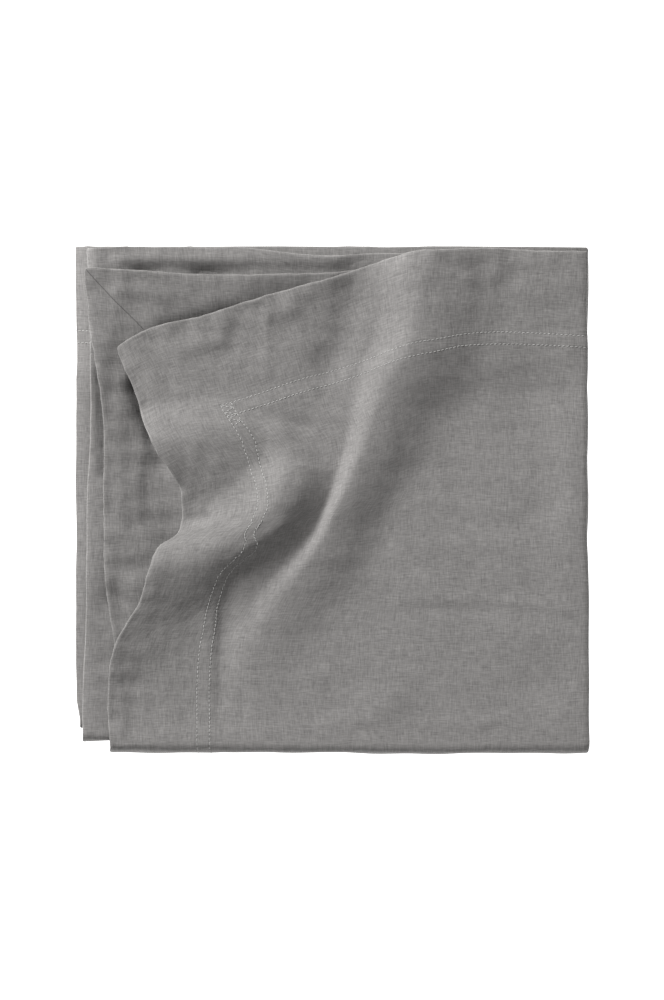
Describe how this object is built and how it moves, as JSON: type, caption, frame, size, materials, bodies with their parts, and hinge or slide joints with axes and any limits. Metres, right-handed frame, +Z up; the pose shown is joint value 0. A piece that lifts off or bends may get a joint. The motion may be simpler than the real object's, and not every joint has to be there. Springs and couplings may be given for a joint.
{
  "type": "folded tablecloth",
  "caption": "Square linen tablecloth with wide mitred hems, folded both ways into a square packet, its top layer drawn aside into a long soft ridge and a rolled fold.",
  "frame": {"origin": "on the surface that the folded cloth lies on, under the middle of its outline", "axes": "+Z up, away from the surface; seen from above, +X to the right along the outer near fold and +Y away, towards the turned-back hems"},
  "size_m": [0.3625, 0.3582, 0.0375],
  "materials": {
    "linen": "washed plain-woven linen, matte mid grey, lightly slubbed"
  },
  "bodies": {
    "root": {"tablecloth": "linen"}
  },
  "joints": []
}
